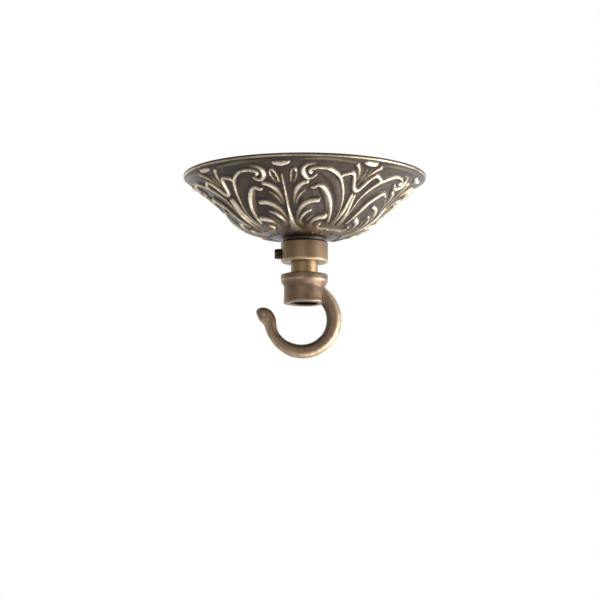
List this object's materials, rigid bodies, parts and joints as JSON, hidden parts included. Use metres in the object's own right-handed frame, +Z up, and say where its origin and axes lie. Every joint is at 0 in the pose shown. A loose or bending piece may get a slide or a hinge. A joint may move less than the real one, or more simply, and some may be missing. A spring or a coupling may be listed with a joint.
{
  "type": "ceiling hook",
  "caption": "Cast brass ceiling hook under a bowl-shaped acanthus canopy, held by a slip collar on a tube that hangs from a steel strap.",
  "frame": {"origin": "in the ceiling plane, midway between the strap's two ceiling screw holes, on the tube's axis", "axes": "+Z up into the ceiling; X along the strap and in the plane of the hook's ring, whose mouth opens to -X; the picture looks along +Y"},
  "size_m": [0.108, 0.108, 0.0814],
  "materials": {
    "canopy_brass": "dark antique patina with rubbed bright crests",
    "turned_brass": "turned, antique brown",
    "tube_brass": "drawn tube, satin",
    "hook_brass": "cast, red-brown antique",
    "nut_brass": "plain machined",
    "zinc_steel": "zinc plated",
    "dark_steel": "blackened",
    "nylon": "moulded"
  },
  "bodies": {
    "hanger": {"ceiling_strap": "zinc_steel", "upper_locknut": "nut_brass", "toothed_washer": "zinc_steel", "lower_locknut": "nut_brass", "plain_washer": "zinc_steel", "threaded_tube": "zinc_steel", "tube_bush": "nylon", "earth_screw": "nut_brass", "earth_washer": "nut_brass", "spacer_sleeve": "tube_brass", "hook": "hook_brass"},
    "collar": {"slip_collar": "turned_brass"},
    "screw": {"collar_screw": "dark_steel"},
    "cover": {"canopy": "canopy_brass"}
  },
  "joints": [
    {"name": "collar_slide", "type": "slide", "parent": "hanger", "child": "collar", "axis": [0, 0, -1], "range_m": [0, 0.005]},
    {"name": "collar_screw_out", "type": "slide", "parent": "collar", "child": "screw", "axis": [-1, 0, 0], "range_m": [0, 0.0016]},
    {"name": "canopy_turn", "type": "hinge", "parent": "collar", "child": "cover", "pos_m": [0, 0, 0], "axis": [0, 0, 1], "continuous": true}
  ]
}
